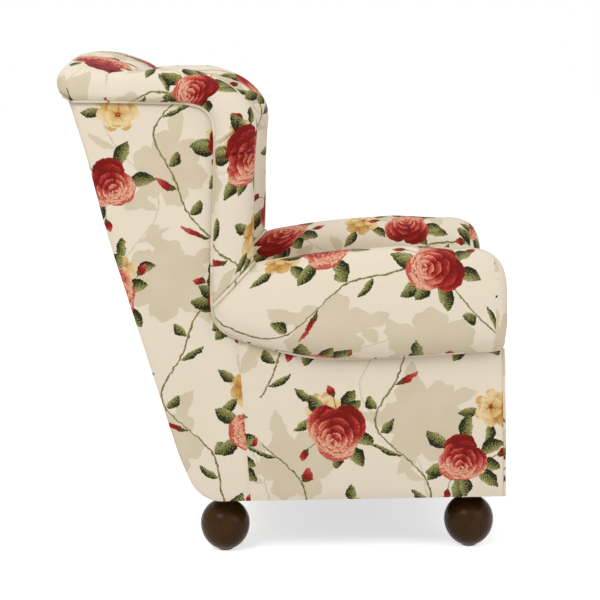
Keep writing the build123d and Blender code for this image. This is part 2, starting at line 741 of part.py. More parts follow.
# ---- the chair --------------------------------------------------------------
rear_cover, arm_cover = make_side_covers()
parts = {
    "front_rail": make_front_rail(),
    "rear_rail": make_back_rail(frame_z, frame_z + rail_height),
    "seat_rear_rail": make_back_rail(rail_top_z - seat_rail, rail_top_z),
    "back_tuck_rail": make_back_rail(
        deck_height + tuck_rail_rise, deck_height + tuck_rail_rise + tuck_rail),
    "back_top_rail": make_top_rail(),
    **pair("side_rail", make_side_rail(frame_z, frame_z + rail_height)),
    **pair("seat_side_rail", make_side_rail(rail_top_z - seat_rail, rail_top_z)),
    **pair("front_post", make_front_post()),
    **pair("rear_post", make_rear_post()),
    **pair("arm_board", make_arm_board()),
    **pair("wing_board", make_wing_board()),
    **pair("arm_scroll_boards", Compound([make_scroll_board(y) for y in scroll_places()])),
    **pair("arm_liner", make_liner()),
    **pair("corner_block_front", make_corner_block(False)),
    **pair("corner_block_rear", make_corner_block(True)),
    "tee_nuts": on_feet(make_tee_nut()),
    "foot_studs": on_feet(make_stud()),
    "seat_springs": make_springs(),
    "spring_clips": make_clips(),
    "back_webbing_upright": make_upright_straps(),
    "back_webbing_cross": make_cross_straps(),
    "dust_cover": make_dust_cover(),
    "seat_deck": make_deck(),
    "back_pad": make_back_pad(),
    "crest_pad": make_crest(),
    **pair("wing_pad", make_wing_pad()),
    **pair("arm_pad", make_arm_pad()),
    **pair("outside_wing_cover", rear_cover),
    **pair("outside_arm_cover", arm_cover),
    "outside_back_cover": make_outside_back(),
    "front_border": make_front_border(),
    **pair("arm_front", make_arm_front()),
    **pair("side_piping", make_side_piping()),
    "seat_cushion": make_cushion(),
    "cushion_piping": make_cushion_piping(),
    "feet": on_feet(make_foot()),
    "foot_glides": on_feet(make_glide()),
}

os.makedirs("parts", exist_ok=True)
for name, shape in parts.items():
    export_step(shape, "parts/" + name + ".step")
print(len(parts), "nodes written")
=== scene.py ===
import json
from math import cos, pi, radians, sin

import bmesh
import bpy
import numpy as np
from mathutils import Matrix, Vector, noise


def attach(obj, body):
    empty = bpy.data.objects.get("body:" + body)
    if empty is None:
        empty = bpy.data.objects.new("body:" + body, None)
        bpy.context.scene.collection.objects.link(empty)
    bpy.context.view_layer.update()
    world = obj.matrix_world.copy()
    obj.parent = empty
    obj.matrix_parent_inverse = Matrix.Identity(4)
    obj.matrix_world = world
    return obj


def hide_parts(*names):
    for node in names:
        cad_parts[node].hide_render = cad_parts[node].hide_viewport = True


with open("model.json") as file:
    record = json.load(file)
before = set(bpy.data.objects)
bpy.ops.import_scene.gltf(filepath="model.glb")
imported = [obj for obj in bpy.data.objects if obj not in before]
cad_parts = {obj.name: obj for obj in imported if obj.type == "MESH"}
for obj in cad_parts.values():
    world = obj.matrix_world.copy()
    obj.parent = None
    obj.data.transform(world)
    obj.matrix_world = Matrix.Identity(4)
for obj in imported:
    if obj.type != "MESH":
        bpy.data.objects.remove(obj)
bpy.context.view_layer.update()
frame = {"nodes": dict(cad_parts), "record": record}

# Looks of the wing-back fireside chair. Forms are worked out in millimetres and
# turned into metres where a mesh is made. The sitter faces -Y; the side that the
# camera sees is the sitter's right, -X. Pieces are shaped on the +X side and mirrored.

scene = bpy.context.scene
CHAIR, CUSHION = "chair", "cushion"
HANDS = ((1, "_left"), (-1, "_right"))
MM = 0.001


# ---- lines and grids ----
def reach_along(points):
    """Distance of each point from the first, along a line or along the first axis of a grid."""
    steps = np.linalg.norm(np.diff(points, axis=0), axis=-1)
    return np.concatenate([np.zeros_like(steps[:1]), np.cumsum(steps, axis=0)])


def evenly(line, count):
    """Points evenly spaced along the straight stretches between the given ones."""
    line = np.array(line, float)
    reach = reach_along(line)
    places = np.linspace(0, reach[-1], count)
    return np.stack([np.interp(places, reach, column) for column in line.T], axis=1)


def between(a, b, t, start, end):
    return a + (b - a) * (t - start) / (end - start)


def curve_through(points, count, steps=24):
    """Points evenly spaced along a smooth curve through the given ones."""
    marks = np.array(points, float)
    dense = []
    padded = np.vstack([2 * marks[0] - marks[1], marks, 2 * marks[-1] - marks[-2]])
    for i in range(len(marks) - 1):
        a, b, c, d = padded[i:i + 4]
        gaps = [max(np.linalg.norm(q - p), 1e-6) ** 0.5 for p, q in ((a, b), (b, c), (c, d))]
        ta, tb, tc, td = 0, *np.cumsum(gaps)
        for t in np.linspace(tb, tc, steps, endpoint=False):
            bc = between(b, c, t, tb, tc)
            abc = between(between(a, b, t, ta, tb), bc, t, ta, tc)
            bcd = between(bc, between(c, d, t, tc, td), t, tb, td)
            dense.append(between(abc, bcd, t, tb, tc))
    return evenly(dense + [marks[-1]], count)


def stacked(*values):
    """A grid of points or of cloth places from its coordinates."""
    return np.stack(np.broadcast_arrays(*values), axis=-1)


def smooth(t):
    t = np.clip(t, 0, 1)
    return t * t * (3 - 2 * t)


def unit(vectors):
    return vectors / np.maximum(np.linalg.norm(vectors, axis=-1, keepdims=True), 1e-9)


def pillow(rows, cols, power=0.6):
    """1 over the middle of a grid, 0 along its edges."""
    across, along = (np.sin(np.linspace(0, pi, count)) ** power for count in (rows, cols))
    return across[:, None] * along[None, :]


def ripple(points, size, amount, seed):
    """Gentle unevenness of stuffed cloth: displacement for each point, in mm."""
    moved = points.reshape(-1, 3) / size + (seed, -2 * seed, 3 * seed)
    values = [noise.noise(Vector(place)) for place in moved]
    return amount * np.array(values).reshape(points.shape[:-1])


def grid_normals(points, row, column, axis):
    """Unit normals of a grid, turned so that the one at the given place points up its axis."""
    normal = unit(np.cross(np.gradient(points, axis=0), np.gradient(points, axis=1)))
    return -normal if normal[row, column, axis] < 0 else normal


def at_x(x, line):
    """A line of (y, z) placed at x."""
    return np.column_stack([np.full(len(line), x), line])


def groove(distance, width, depth):
    return -depth * np.exp(-(distance / width) ** 2)


# ---- meshes ----
def add_object(name, data):
    thing = bpy.data.objects.new(name, data)
    scene.collection.objects.link(thing)
    return thing


def make_mesh(name, points, uv, inside, closed=(False, False)):
    """A grid of points and cloth coordinates (mm) as a smooth mesh, facing away from a place inside."""
    index = np.arange(points.shape[0] * points.shape[1]).reshape(points.shape[:2])
    for axis in (0, 1):
        if closed[axis]:
            index = np.concatenate([index, index.take([0], axis)], axis=axis)
            last, before = uv.take([-1], axis), uv.take([-2], axis)
            uv = np.concatenate([uv, last + (last - before)], axis=axis)
    quads, corner_uv = (np.stack([grid[:-1, :-1], grid[1:, :-1], grid[1:, 1:], grid[:-1, 1:]], axis=2)
                        for grid in (index, uv))
    quads, corner_uv = quads.reshape(-1, 4), corner_uv.reshape(-1, 4, 2)
    flat_points = points.reshape(-1, 3)
    corners = flat_points[quads]
    face_normal = np.cross(corners[:, 2] - corners[:, 0], corners[:, 3] - corners[:, 1])
    away = corners.mean(axis=1) - np.array(inside, float)
    if (face_normal * away).sum() < 0:
        quads, corner_uv = quads[:, ::-1], corner_uv[:, ::-1]
    mesh = bpy.data.meshes.new(name)
    mesh.from_pydata((flat_points * MM).tolist(), [], quads.tolist())
    layer = mesh.uv_layers.new(name="ClothUV")
    layer.data.foreach_set("uv", (corner_uv * MM).astype(np.float32).ravel())
    mesh.polygons.foreach_set("use_smooth", np.ones(len(mesh.polygons), bool))
    mesh.update()
    return add_object(name, mesh)


def finish_piece(piece, replaced=(), body=CHAIR, slot="floral_cloth"):
    """Give a piece its material and its body, and hide the nodes that it stands for."""
    piece.data.materials.clear()
    piece.data.materials.append(looks[slot])
    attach(piece, body)
    if replaced:
        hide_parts(*replaced)
    return piece


def both_sides(name, points, uv, inside, node, shift=(0, 0), hands=HANDS):
    """The piece on the sitter's left, with its cloth moved along, and its mirror image."""
    pieces = []
    for side, hand in hands:
        cloth = uv * (side, 1) + (shift if side == 1 else (0, 0))
        piece = make_mesh(name + hand, points * (side, 1, 1), cloth, np.multiply(inside, (side, 1, 1)))
        pieces.append(finish_piece(piece, [node + hand]))
    return pieces


def mend(piece, fill_ends=False):
    """Turn a closed form's faces outward, and close its open ends where asked."""
    work = bmesh.new()
    work.from_mesh(piece.data)
    if fill_ends:
        bmesh.ops.holes_fill(work, edges=work.edges[:])
    bmesh.ops.recalc_face_normals(work, faces=work.faces)
    work.to_mesh(piece.data)
    work.free()


def sweep(centre, first, second, radius, around=10):
    """A round cord along a line, from two unit directions across it, with its cloth coordinates."""
    turn = np.linspace(0, 2 * pi, around, endpoint=False)
    points = centre[:, None] + radius * (np.cos(turn)[:, None] * first[:, None]
                                         + np.sin(turn)[:, None] * second[:, None])
    return points, stacked(reach_along(centre)[:, None], radius * turn)


def tube(centre, radius):
    """A round cord along an open line, without twist."""
    tangent = unit(np.gradient(centre, axis=0))
    first = unit(np.cross(tangent, (0.31, 0.27, 0.91)))
    for i in range(1, len(first)):
        first[i] = unit(first[i - 1] - tangent[i] * np.dot(first[i - 1], tangent[i]))
    return sweep(centre, first, np.cross(tangent, first), radius)


# ---- materials ----
def operator(operation):
    """A method that puts a value through a Math node."""
    return lambda self, *others: self.nodes.math(operation, self, *others)


class Wire:
    """A value on its way between nodes; arithmetic on it adds Math nodes."""

    def __init__(self, nodes, socket):
        self.nodes, self.socket = nodes, socket

    __add__, __sub__ = operator("ADD"), operator("SUBTRACT")
    __mul__, __truediv__ = operator("MULTIPLY"), operator("DIVIDE")
    __pow__, __abs__, __gt__ = operator("POWER"), operator("ABSOLUTE"), operator("GREATER_THAN")
    scaled = operator("MULTIPLY_ADD")       # takes a factor, and what is added to the product

    def __rsub__(self, other):
        return self.nodes.math("SUBTRACT", other, self)

    def clamped(self):
        """Hold the last result within 0 to 1."""
        self.socket.node.use_clamp = True
        return self


class Nodes:
    """Short names for building the nodes of a material or of the world."""

    def __init__(self, owner):
        self.owner = owner
        owner.use_nodes = True
        self.tree = owner.node_tree
        self.shader = self.tree.nodes.get("Principled BSDF")

    def add(self, kind, inputs=(), **settings):
        node = self.tree.nodes.new(kind)
        for key, value in settings.items():
            setattr(node, key, value)
        for key, value in dict(inputs).items():
            self.put(node.inputs[key], value)
        return node

    def out(self, node, which=0):
        return Wire(self, node.outputs[which])

    def put(self, socket, value):
        if isinstance(value, Wire):
            self.tree.links.new(value.socket, socket)
        else:
            socket.default_value = value

    def surface(self, **values):
        """Set the shader's sockets; an underscore stands for a space."""
        for name, value in values.items():
            self.put(self.shader.inputs[name.replace("_", " ")], value)

    def math(self, operation, *values):
        return self.out(self.add("ShaderNodeMath", enumerate(values), operation=operation))

    def sine(self, value):
        return self.math("SINE", value)

    def cosine(self, value):
        return self.math("COSINE", value)

    def larger(self, a, b):
        return self.math("MAXIMUM", a, b)

    def vector(self, operation, *values):
        return self.out(self.add("ShaderNodeVectorMath", enumerate(values), operation=operation))

    def combine(self, x, y, z=0.0):
        return self.out(self.add("ShaderNodeCombineXYZ", enumerate((x, y, z))))

    def separate(self, value):
        node = self.add("ShaderNodeSeparateXYZ", {0: value})
        return [self.out(node, i) for i in range(3)]

    def noise(self, place, scale, detail=2.0, rough=0.5, color=False):
        node = self.add("ShaderNodeTexNoise", {"Vector": place, "Scale": scale, "Detail": detail,
                                               "Roughness": rough}, noise_dimensions="3D")
        return self.out(node, "Color" if color else "Fac")

    def chance(self, x, y):
        """A random value for each pair of whole numbers."""
        node = self.add("ShaderNodeTexWhiteNoise", {"Vector": self.combine(x, y)}, noise_dimensions="2D")
        return self.out(node, "Value")

    def ramp(self, value, *stops):
        node = self.add("ShaderNodeValToRGB", {0: value})
        elements = node.color_ramp.elements
        while len(elements) < len(stops):
            elements.new(1.0)
        for element, (place, color) in zip(elements, stops):
            element.position = place
            element.color = (*color, 1.0)
        return self.out(node)

    def mix(self, factor, a, b):
        a, b = (value if isinstance(value, Wire) else (*value, 1.0) for value in (a, b))
        return self.out(self.add("ShaderNodeMix", {0: factor, 6: a, 7: b}, data_type="RGBA"), 2)

    def within(self, edge, value, soft=0.0008):
        """1 where value is under edge, with a soft step of the given width."""
        return ((edge - value) / soft).clamped()

    def bump(self, height, strength, distance):
        self.surface(Normal=self.out(self.add(
            "ShaderNodeBump", {"Strength": strength, "Distance": distance, "Height": height})))

    def object_place(self):
        return self.out(self.add("ShaderNodeTexCoord"), "Object")

    def straight_view(self):
        """1 for what is seen directly, in gloss or through glass, and 0 for light on things."""
        path = self.add("ShaderNodeLightPath")
        seen = self.larger(self.out(path, "Is Camera Ray"), self.out(path, "Is Glossy Ray"))
        return self.larger(seen, self.out(path, "Is Transmission Ray"))


def new_material(name):
    return Nodes(bpy.data.materials.new(name))


CREAM = (0.785, 0.693, 0.556)
SHADOW_PRINT = (0.580, 0.485, 0.325)
LEAF_DARK = (0.016, 0.018, 0.004)
LEAF_MID = (0.085, 0.084, 0.018)
LEAF_LIGHT = (0.300, 0.285, 0.095)
LEAF_EDGE = (0.40, 0.40, 0.19)
STEM = (0.180, 0.163, 0.045)
STEM_LIGHT = (0.40, 0.40, 0.17)
CRIMSON = (0.170, 0.005, 0.003)
RED = (0.320, 0.013, 0.008)
PINK = (0.500, 0.086, 0.062)
PALE_PINK = (0.650, 0.265, 0.165)
BLUSH = (0.760, 0.480, 0.300)
PALE_YELLOW = (0.700, 0.500, 0.235)
BUTTER = (0.78, 0.63, 0.37)
YELLOW = (0.600, 0.360, 0.110)
OCHRE = (0.430, 0.190, 0.045)
THREAD_PITCH = 0.0009


def make_chintz():
    """Cream cotton printed with roses, yellow flowers, leafy stems and beige shadows.

    Its sizes are in metres on the cloth. Each layer is mixed over the last by a mask."""
    n = new_material("rose_chintz")
    cloth = n.out(n.add("ShaderNodeUVMap", uv_map="ClothUV"))
    wobble = n.vector("SUBTRACT", n.noise(cloth, 75.0, 2.0, color=True), (0.5, 0.5, 0.5))
    brush = n.add("ShaderNodeVectorMath", {0: wobble, "Scale": 0.009}, operation="SCALE")
    painted = n.vector("ADD", cloth, n.out(brush))
    painted_u, painted_v, _ = n.separate(painted)
    streak = n.noise(cloth, 240.0, 2.0) - 0.5

    def polar(x, y):
        return n.math("SQRT", x * x + y * y), n.math("ARCTAN2", y, x)

    def stamps(size, jitter, shift):
        """Where one stamp of a layer lies: local place, polar place and random values."""
        moved = n.vector("ADD", painted, shift)
        cell = n.add("ShaderNodeTexVoronoi", {"Vector": moved, "Scale": 1.0 / size, "Randomness": jitter},
                     voronoi_dimensions="2D")
        local = n.vector("SUBTRACT", moved, n.out(cell, "Position"))
        chances = n.separate(n.out(cell, "Color"))
        turned = n.add("ShaderNodeVectorRotate", {"Vector": local, "Angle": chances[0] * (2 * pi)},
                       rotation_type="Z_AXIS")
        x, y, _ = n.separate(n.out(turned))
        return x, y, polar(x, y), chances

    def sectors(reach, angle, count, turn, seed):
        """Fold the turn into sectors; local place in one of them and its random value."""
        share = angle * (count / (2 * pi)) + turn
        number = n.math("FLOOR", share)
        bend = (share - number - 0.5) * (2 * pi / count)
        chance = n.chance(n.math("WRAP", number, count, 0.0), seed)
        return reach * n.cosine(bend), reach * n.sine(bend), chance

    def leaf(along, across, centre, half_length, half_width, bow=0.0):
        """Mask and colour of one toothed leaf, its two halves dark and light, with veins."""
        place = (along - centre) / half_length
        square = place * place
        bent = across - square * bow
        size = abs(bent)
        teeth = n.math("PINGPONG", along, 0.0022) * 0.7
        width = (1.0 - square) * half_width - teeth
        vein = n.sine((along - size * 0.8) * 1150.0)
        tone = (bent * (0.42 / half_width) + streak * 0.75 + vein.scaled(0.12, 0.5)).clamped()
        return n.within(width, size), n.ramp(
            tone, (0.0, LEAF_DARK), (0.40, LEAF_DARK), (0.47, LEAF_MID), (0.52, LEAF_LIGHT),
            (0.60, LEAF_MID), (0.78, LEAF_LIGHT), (1.0, LEAF_EDGE))

    def blossom(color, x, y, size, rings, stops, seed, cup=0.085):
        """Rings of overlapping petals painted from the outermost to the heart.

        A ring is (share of the size, petals, depth of the lobes, where its tones start)."""
        for i, (share, petals, depth, inner) in enumerate(rings):
            aside = size * (cup * i)
            reach, angle = polar(x - aside, y - aside * 0.6)
            lobe = abs(n.cosine(angle * (petals / 2) + seed.scaled(6.0, 1.7 * i))) ** 0.55
            part = reach / (size * lobe.scaled(depth * share, (1 - depth) * share))
            tone = (lobe - 1.0).scaled(0.75, (part - inner) / (1 - inner))
            tilt = (x + y * 0.8) / (size * 2.6)
            tone = (tone.scaled(0.62, 0.12) + tilt + streak * 0.75).clamped()
            color = n.mix(n.within(1.0, part, 0.02), color, n.ramp(tone, *stops))
        return color

    def winding(width, wave, sway, first, pitch, lean, thick, share):
        """Winding stems with leaves set along them by turns.

        Returns the stem's mask, where the stem is present, the place along and across the
        nearest leaf, and that leaf's random value."""
        run = n.sine(painted_v.scaled(2 * pi / wave[0], first)) * wave[1]
        run = run + n.sine(painted_v * (2 * pi / sway[0])) * sway[1]
        place = painted_u + first + run
        aside = n.math("WRAP", place, width, 0.0) - width / 2
        step = n.math("FLOOR", painted_v / pitch)
        hand = n.math("WRAP", step, 2.0, 0.0) * 2.0 - 1.0
        rise = painted_v - (step + 0.30) * pitch
        out = aside * hand
        along = out * cos(lean) + rise * sin(lean)
        across = rise * cos(lean) - out * sin(lean)
        row = n.math("FLOOR", place / width)
        present = n.noise(n.combine(row * width, step * pitch), 4.3, 1.0) > share
        stem = n.within(thick, abs(aside), 0.0006) * present
        return stem, present, along, across, n.chance(step, row)

    color = n.mix(n.noise(cloth, 9.0, 2.0), CREAM, tuple(0.955 * c for c in CREAM))

    # flat beige shadows: stems with leaves, then large lobed flowers
    stalk, present, along, across, chance = winding(0.33, (0.61, 0.075), (0.23, 0.016), 0.21, 0.064,
                                                    radians(40), 0.0018, 0.40)
    frond, _ = leaf(along, across, 0.031, 0.026, 0.0115, 0.006)
    shade = n.larger(stalk, frond * present * (chance > 0.2))
    x, y, (reach, angle), (one, two, three) = stamps(0.285, 0.45, (0.17, 0.05, 0.0))
    lobe = abs(n.cosine(angle.scaled(3.0, 0.4))) ** 0.6
    ragged = n.sine(angle * 17.0) * 0.0025
    rim = lobe.scaled(0.026, two.scaled(0.018, 0.050)) + ragged
    shade = n.larger(shade, n.within(rim, reach, 0.001))
    along, across, chance = sectors(reach, angle, 5, three, two)
    frond, _ = leaf(along, across, 0.092, 0.036, 0.017, 0.012)
    shade = n.larger(shade, frond * (chance > 0.35))
    color = n.mix(shade * n.noise(cloth, 14.0, 1.0).scaled(0.5, 0.45), color, SHADOW_PRINT)

    # olive stems with leaves and a few buds
    stalk, present, along, across, chance = winding(0.26, (0.49, 0.062), (0.19, 0.014), 0.0, 0.050,
                                                    radians(38), streak.scaled(0.0018, 0.0024), 0.38)
    twig, green = leaf(along, across, 0.029, 0.0245, 0.0098, 0.004)
    twig = twig * (chance > 0.22) * present
    bark = n.ramp(streak.scaled(1.6, 0.5).clamped(), (0.2, LEAF_MID), (0.5, STEM), (0.8, STEM_LIGHT))
    color = n.mix(stalk, color, bark)
    red_bud = n.ramp((along / 0.05 + streak * 0.8).clamped(), (0.0, LEAF_DARK), (0.34, LEAF_MID),
                     (0.42, CRIMSON), (0.62, RED), (0.95, PINK))
    color = n.mix(twig, color, n.mix(chance > 0.86, green, red_bud))

    # yellow open flowers
    x, y, (reach, angle), (one, two, three) = stamps(0.268, 0.35, (0.03, 0.21, 0.0))
    along, across, chance = sectors(reach, angle, 5, two, three)
    mask, green = leaf(along, across, 0.053, 0.024, 0.0115, 0.004)
    color = n.mix(mask * (chance > 0.35), color, green)
    size = two.scaled(0.010, 0.037)
    golden = ((0.0, OCHRE), (0.22, YELLOW), (0.5, PALE_YELLOW), (0.85, BUTTER), (1.0, YELLOW))
    yellow_rings = ((1.0, 7.0, 0.30, 0.25), (0.60, 5.0, 0.26, 0.15))
    color = blossom(color, x, y, size, yellow_rings, golden, three, 0.16)
    heart, _ = polar(x - size * 0.16, y - size * 0.10)
    stamens = n.ramp(streak.scaled(1.8, 0.5).clamped(), (0.2, CRIMSON), (0.5, RED), (0.8, YELLOW))
    color = n.mix(n.within(streak.scaled(0.010, 0.0062), heart), color, stamens)

    # roses with leaves and stalked buds
    x, y, (reach, angle), (one, two, three) = stamps(0.260, 0.30, (0.0, 0.0, 0.0))
    along, across, chance = sectors(reach, angle, 3, three, one)
    offside = across - n.sine(along * 26.0) * 0.013
    has_bud = chance > 0.3
    stalk = n.within(0.0012, abs(offside), 0.0006) * n.within(0.082, along, 0.001)
    color = n.mix(stalk * has_bud, color, STEM)
    place = (along - 0.083) / 0.0145
    bud = n.within((1.0 - place * place) * 0.0088, abs(offside)) * has_bud
    bud_color = n.ramp((place.scaled(0.5, 0.5) + streak * 0.6).clamped(), (0.0, LEAF_DARK),
                       (0.22, LEAF_MID), (0.32, CRIMSON), (0.6, RED), (0.9, PINK))
    color = n.mix(bud, color, bud_color)
    for turn, count, centre, length, width, rare in ((two, 6, 0.066, 0.030, 0.0160, 0.28),
                                                     (one, 5, 0.058, 0.025, 0.0150, 0.30)):
        along, across, chance = sectors(reach, angle, count, turn, three + centre)
        mask, green = leaf(along, across, centre, length, width, 0.006)
        color = n.mix(mask * (chance > rare), color, green)
    size = two.scaled(0.011, 0.043)
    rosy = ((0.0, CRIMSON), (0.26, RED), (0.50, PINK), (0.72, PALE_PINK), (0.90, BLUSH), (1.0, PINK))
    rose_rings = ((1.24, 3.0, 0.36, 0.70), (1.0, 5.0, 0.16, 0.62), (0.74, 5.0, 0.15, 0.58),
                  (0.52, 4.0, 0.16, 0.52), (0.33, 3.0, 0.22, 0.30), (0.17, 3.0, 0.2, 0.0))
    color = blossom(color, x, y, size, rose_rings, rosy, three)

    n.surface(Base_Color=color, Roughness=0.78, Specular_IOR_Level=0.16, Sheen_Weight=0.05,
              Sheen_Roughness=0.5)
    cloth_u, cloth_v, _ = n.separate(cloth)
    warp, weft = (n.sine(place * (2 * pi / THREAD_PITCH)) for place in (cloth_u, cloth_v))
    n.bump(warp * weft + n.noise(cloth, 420.0, 3.0) * 1.2, 0.35, 0.00025)
    return n.owner


def make_wood(name, dark, light, scale, gloss, grain=(1.0, 1.0, 14.0), specular=0.5):
    """Timber with grain along one axis."""
    n = new_material(name)
    stretched = n.vector("MULTIPLY", n.object_place(), [scale / share for share in grain])
    rings = n.noise(stretched, 6.0, 5.0, 0.6)
    pores = n.noise(stretched, 60.0, 3.0, 0.7)
    tone = (rings * 0.8 + pores * 0.3).clamped()
    middle = tuple((a + b) / 2 for a, b in zip(dark, light))
    n.surface(Base_Color=n.ramp(tone, (0.25, dark), (0.5, middle), (0.8, light)),
              Roughness=pores.scaled(0.15, gloss), Specular_IOR_Level=specular)
    n.bump(tone, 0.12, 0.0004)
    return n.owner


def make_metal(name, color, rough):
    n = new_material(name)
    place = n.object_place()
    blotch = n.noise(place, 90.0, 4.0)
    n.surface(Base_Color=n.mix(blotch, tuple(0.8 * c for c in color), color),
              Roughness=blotch.scaled(0.2, rough), Metallic=1.0)
    n.bump(n.noise(place, 700.0, 2.0), 0.1, 0.0002)
    return n.owner


def make_cloth(name, dark, light, pitch):
    """Plain woven cloth or webbing, its threads along two axes."""
    n = new_material(name)
    x, y, z = n.separate(n.object_place())
    warp, weft = (n.sine(place * (2 * pi / pitch)) for place in (x, y + z))
    weave = (warp * weft).scaled(0.5, 0.5)
    fuzz = n.noise(n.combine(x, y, z), 150.0, 4.0)
    n.surface(Base_Color=n.mix(weave.scaled(0.5, fuzz * 0.5), dark, light), Roughness=0.9, Sheen_Weight=0.1)
    n.bump(weave + fuzz, 0.4, 0.0004)
    return n.owner


def make_plastic(name, color):
    n = new_material(name)
    place = n.object_place()
    scuff = n.noise(place, 160.0, 4.0)
    n.surface(Base_Color=n.mix(scuff, color, tuple(1.6 * c for c in color)),
              Roughness=scuff.scaled(0.2, 0.42))
    n.bump(n.noise(place, 900.0, 2.0), 0.15, 0.0002)
    return n.owner


looks = {
    "floral_cloth": make_chintz(),
    "beech": make_wood("beech", (0.42, 0.24, 0.12), (0.62, 0.42, 0.25), 8.0, 0.55),
    "plywood": make_wood("birch_plywood", (0.50, 0.34, 0.18), (0.68, 0.52, 0.33), 10.0, 0.55),
    "hardboard": make_wood("hardboard", (0.10, 0.05, 0.025), (0.17, 0.09, 0.05), 30.0, 0.6, (1.0, 1.0, 1.0)),
    "dark_wood": make_wood("dark_walnut", (0.017, 0.0065, 0.0012), (0.060, 0.024, 0.0042), 9.0, 0.20,
                           (2.0, 2.0, 9.0), specular=0.10),
    "zinc_steel": make_metal("zinc_steel", (0.66, 0.68, 0.70), 0.28),
    "spring_steel": make_metal("spring_steel", (0.20, 0.20, 0.21), 0.35),
    "webbing": make_cloth("jute_webbing", (0.20, 0.13, 0.06), (0.45, 0.34, 0.19), 0.004),
    "dust_cloth": make_cloth("dust_cloth", (0.006, 0.006, 0.007), (0.022, 0.022, 0.024), 0.0015),
    "deck_cloth": make_cloth("lining_cloth", (0.55, 0.49, 0.38), (0.72, 0.67, 0.56), 0.001),
    "glide_plastic": make_plastic("glide_plastic", (0.012, 0.010, 0.010)),
}
for entry in frame["record"]["subparts"]:
    for material_slot in frame["nodes"][entry["node"]].material_slots:
        material_slot.material = looks[entry["material_slot"]]

# ---- the chair's lines ----
BODY_X = 345.0                  # half the width over the outside covers
BASE_Z, FRONT_Y = 121.0, -446.0
BACK_TOP_Y, BACK_TOP_Z, BACK_SLOPE = 430.0, 957.0, 0.28297
HEEL_Y, HEEL_RADIUS = 144.2, 65.0
PLAIN_SEAM_Y = 84.0             # the foot of the plain seam in the side
MITRE_Z = 533                   # where the seam passes from the arm to the wing
ONE = ((1, ""),)                # a piece that isn't paired


def back_y(z):
    """The outside back at height z."""
    return BACK_TOP_Y - (BACK_TOP_Z - z) * BACK_SLOPE


def back_puff(z):
    """How far the stretched cover of the outside back stands out behind it."""
    return 9.5 * smooth((z - 125) / 110) * smooth((880 - z) / 230)


def back_line(low, count):
    """The cover of the outside back in (y, z), from the given height up."""
    z = np.linspace(low, BACK_TOP_Z, count)
    return np.column_stack([back_y(z) + back_puff(z), z])


def plain_seam_y(z):
    return PLAIN_SEAM_Y + (z - BASE_Z) * 17.0 / 334.0


# the piped side seam as (y, z), from the crest round the wing and under the arm
SEAM = ((423, 957), (346, 954.5), (244.5, 950), (188, 946.5), (160, 938), (143, 920), (136.5, 893),
        (137, 830), (141, 750), (147, 660), (150.5, 590), (151.5, 533), (147, 505), (136, 487), (118, 473.5),
        (70, 455), (6, 436), (-50, 424.5), (-102, 420), (-189, 420), (-297, 425), (-425.6, 431), (-441, 433))
seam_line = curve_through(SEAM, 700)
climbing = seam_line[::-1]
under_arm = climbing[climbing[:, 1] < MITRE_Z]      # rising from the arm's nose

# ---- rolls of the wings and arms ----
SEAM_X, ROLL_X, CROWN_X = BODY_X + 1.5, 368.0, 320.0
SWELL_PART, SWELL = 0.24, 0.28      # the part of the outer half that swells out from the seam
CURL_PART = 0.45                    # the part of the inner half that turns down from the crown
OUTER = 56                          # points from the seam to the crown
CROWN = OUTER - 1


def roll_outline(count, outer_x, crown_x, full=0.85):
    """Outer half of a stuffed roll: share of the way from seam to crown, and x."""
    t = np.linspace(0, 1, count)
    first = np.clip(t / SWELL_PART, 0, 1) * pi / 2
    second = np.clip((t - SWELL_PART) / (1 - SWELL_PART), 0, 1) * pi / 2
    share = np.where(t < SWELL_PART, SWELL * (1 - np.cos(first)),
                     SWELL + (1 - SWELL) * np.sin(second) ** 0.92)
    x = np.where(t < SWELL_PART, SEAM_X + (outer_x - SEAM_X) * np.sin(first),
                 crown_x + (outer_x - crown_x) * np.cos(second) ** full)
    return share, x


def roll_surface(lines, outer_x, crown_x, inner_x, full, curl, inner_count):
    """Rows run along the roll; columns go from the seam over the crown to the inner edge.

    Each line starts with the (y, z) places of its seam, crown and inner edge."""
    t = np.linspace(0, 1, inner_count + 1)[1:]
    angle = np.clip(t / CURL_PART, 0, 1) * pi / 2
    points = np.zeros((len(lines), OUTER + inner_count, 3))
    for row, line, outer, top, inside, fullness in zip(points, lines, outer_x, crown_x, inner_x, full):
        seam, crown, inner = line[:2], line[2:4], line[4:6]
        share, row[:OUTER, 0] = roll_outline(OUTER, outer, top, fullness)
        row[:OUTER, 1:] = seam + (crown - seam) * share[:, None]
        length = np.linalg.norm(inner - crown)
        bend = min(curl, 0.9 * length)
        depth = np.where(t < CURL_PART, bend * (1 - np.cos(angle)),
                         bend + (length - bend) * (t - CURL_PART) / (1 - CURL_PART))
        row[OUTER:, 0] = top - (top - inside) * np.sin(angle) ** 0.9
        row[OUTER:, 1:] = crown + (inner - crown) * (depth / length)[:, None]
    return points


def cloth_grid(points, start, middle=CROWN):
    """Cloth coordinates of a grid: lengths across it from the middle line, and along that line."""
    across = reach_along(points.swapaxes(0, 1)).T
    across = across - across[:, middle:middle + 1]
    along = start + reach_along(points[:, middle])
    return stacked(across, along[:, None])


def eased(count, width=8.0):
    """0 at the first of a row of points, rising to 1 over the given number of steps."""
    return smooth(np.arange(count) / width)


